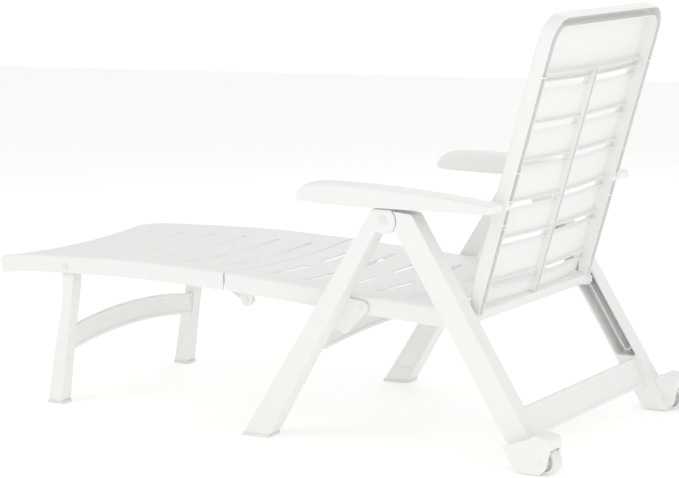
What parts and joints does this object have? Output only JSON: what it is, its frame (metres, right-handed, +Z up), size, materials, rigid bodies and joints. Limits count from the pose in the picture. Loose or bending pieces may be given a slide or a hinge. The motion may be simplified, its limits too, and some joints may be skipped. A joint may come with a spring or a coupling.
{
  "type": "sun lounger",
  "caption": "Reclining folding sun lounger in white moulded plastic, with armrests, slatted seat and back, hinged footrest on its own legs, and rear wheels.",
  "frame": {"origin": "on the floor at the middle of the bounding box, in the posed rest state", "axes": "+Z up, +X toward the head end and the wheels, +Y toward the sitter's right"},
  "size_m": [1.5419, 0.728, 0.9575],
  "materials": {
    "white_plastic": "satin moulded polypropylene",
    "pin_plastic": "satin moulded plastic pins",
    "wheel_plastic": "satin hard plastic wheels",
    "sole_plastic": "matt plastic soles"
  },
  "bodies": {
    "rear_frame": {"rear_leg_left": "white_plastic", "rear_leg_right": "white_plastic", "rear_stretcher": "white_plastic", "guide_rims": "white_plastic", "apex_pins": "pin_plastic", "wheel_axles": "pin_plastic"},
    "left_wheel": {"wheel_left": "wheel_plastic"},
    "right_wheel": {"wheel_right": "wheel_plastic"},
    "front_frame": {"front_leg_left": "white_plastic", "front_leg_right": "white_plastic", "front_stretcher": "white_plastic", "front_feet": "sole_plastic", "seat_brackets": "white_plastic"},
    "seat": {"seat_panel": "white_plastic", "seat_pins": "pin_plastic", "foot_hinge_lugs": "white_plastic", "foot_hinge_pins": "pin_plastic", "back_pivot_pins": "pin_plastic"},
    "footrest": {"foot_panel": "white_plastic", "foot_hinge_arms": "white_plastic", "foot_leg_pins": "pin_plastic"},
    "foot_legs": {"foot_leg_left": "white_plastic", "foot_leg_right": "white_plastic", "foot_stretcher": "white_plastic", "foot_leg_feet": "sole_plastic"},
    "backrest": {"back_rail_left": "white_plastic", "back_rail_right": "white_plastic", "back_slats": "white_plastic", "headrest": "white_plastic", "back_bottom_bar": "white_plastic", "arm_pins": "pin_plastic"},
    "left_armrest": {"armrest_left": "white_plastic"},
    "right_armrest": {"armrest_right": "white_plastic"}
  },
  "joints": [
    {"name": "fold", "type": "hinge", "parent": "rear_frame", "child": "front_frame", "pos_m": [0.356, 0, 0.514], "axis": [0, -1, 0], "range_deg": [0, 36]},
    {"name": "seat_swing", "type": "hinge", "parent": "front_frame", "child": "seat", "pos_m": [0.27, 0, 0.31], "axis": [0, -1, 0], "range_deg": [-69, 1]},
    {"name": "recline", "type": "hinge", "parent": "seat", "child": "backrest", "pos_m": [0.541, 0, 0.305], "axis": [0, 1, 0], "range_deg": [0, 36]},
    {"name": "left_arm_level", "type": "hinge", "parent": "backrest", "child": "left_armrest", "pos_m": [0.612, 0, 0.55], "axis": [0, -1, 0], "range_deg": [-1, 22.5]},
    {"name": "right_arm_level", "type": "hinge", "parent": "backrest", "child": "right_armrest", "pos_m": [0.612, 0, 0.55], "axis": [0, -1, 0], "range_deg": [-1, 22.5]},
    {"name": "footrest_fold", "type": "hinge", "parent": "seat", "child": "footrest", "pos_m": [-0.047, 0, 0.3], "axis": [0, -1, 0], "range_deg": [0, 100]},
    {"name": "foot_leg_fold", "type": "hinge", "parent": "footrest", "child": "foot_legs", "pos_m": [-0.567, 0, 0.344], "axis": [0, -1, 0], "range_deg": [0, 75]},
    {"name": "left_wheel_spin", "type": "hinge", "parent": "rear_frame", "child": "left_wheel", "pos_m": [0.743, 0, 0.028], "axis": [0, 1, 0], "continuous": true},
    {"name": "right_wheel_spin", "type": "hinge", "parent": "rear_frame", "child": "right_wheel", "pos_m": [0.743, 0, 0.028], "axis": [0, 1, 0], "continuous": true}
  ],
  "couplings": [
    {"joint": "seat_swing", "follows": "fold", "ratio": -1.9},
    {"joint": "left_arm_level", "follows": "recline", "ratio": 0.6},
    {"joint": "right_arm_level", "follows": "recline", "ratio": 0.6}
  ]
}
